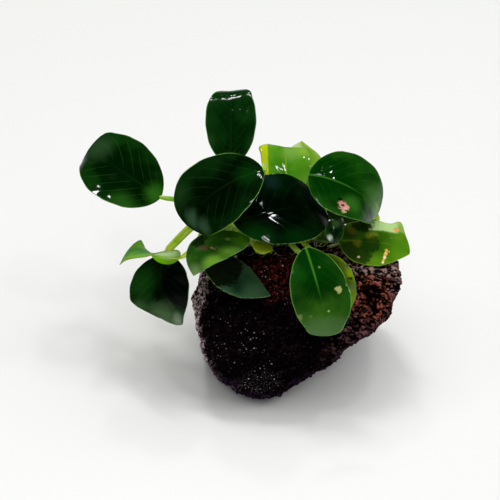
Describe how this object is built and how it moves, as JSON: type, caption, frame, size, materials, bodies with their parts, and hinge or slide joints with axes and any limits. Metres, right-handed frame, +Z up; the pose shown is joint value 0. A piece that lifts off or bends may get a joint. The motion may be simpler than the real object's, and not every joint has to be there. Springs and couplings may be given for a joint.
{
  "type": "anubias on stone",
  "caption": "Small aquarium plant with glossy rounded leaves on arching stalks, its creeping stem rooted along the top of a dark porous lava rock.",
  "frame": {"origin": "middle of the flat face that the stone rests on", "axes": "+Z up, +X to the picture's right along the rhizome and the stone's longest side, +Y away from the viewer"},
  "size_m": [0.1238, 0.0842, 0.0971],
  "materials": {
    "lava": "rough, porous and wet",
    "rhizome": "ringed, dull green",
    "petiole": "smooth and wet",
    "leaf_dark": "glossy, waxy and wet",
    "leaf_mid": "glossy, waxy and wet",
    "leaf_bright": "glossy, waxy and wet",
    "leaf_yellow": "glossy, thin and yellowing",
    "young_leaf": "smooth, rolled",
    "root": "pale and fibrous"
  },
  "bodies": {
    "root": {"lava_rock": "lava", "rhizome": "rhizome", "blade_far_left": "leaf_dark", "petiole_far_left": "petiole", "blade_centre_left": "leaf_dark", "petiole_centre_left": "petiole", "blade_top": "leaf_dark", "petiole_top": "petiole", "blade_centre": "leaf_dark", "petiole_centre": "petiole", "blade_twisted_left": "leaf_bright", "petiole_twisted_left": "petiole", "blade_lower_left": "leaf_dark", "petiole_lower_left": "petiole", "blade_front_hanging": "leaf_mid", "petiole_front_hanging": "petiole", "blade_behind_front": "leaf_mid", "petiole_behind_front": "petiole", "blade_over_stone": "leaf_dark", "petiole_over_stone": "petiole", "blade_spotted_left": "leaf_mid", "petiole_spotted_left": "petiole", "blade_bright_back": "leaf_bright", "petiole_bright_back": "petiole", "blade_yellow_tip": "leaf_yellow", "petiole_yellow_tip": "petiole", "blade_upper_right": "leaf_mid", "petiole_upper_right": "petiole", "blade_right": "leaf_mid", "petiole_right": "petiole", "blade_sliver_right": "leaf_yellow", "petiole_sliver_right": "petiole", "blade_small_round": "leaf_dark", "petiole_small_round": "petiole", "blade_old_yellow": "leaf_yellow", "petiole_old_yellow": "petiole", "rolled_young_leaf": "young_leaf", "root_front_left": "root", "root_left": "root", "root_back_left": "root", "root_back_right": "root", "root_right": "root"}
  },
  "joints": []
}
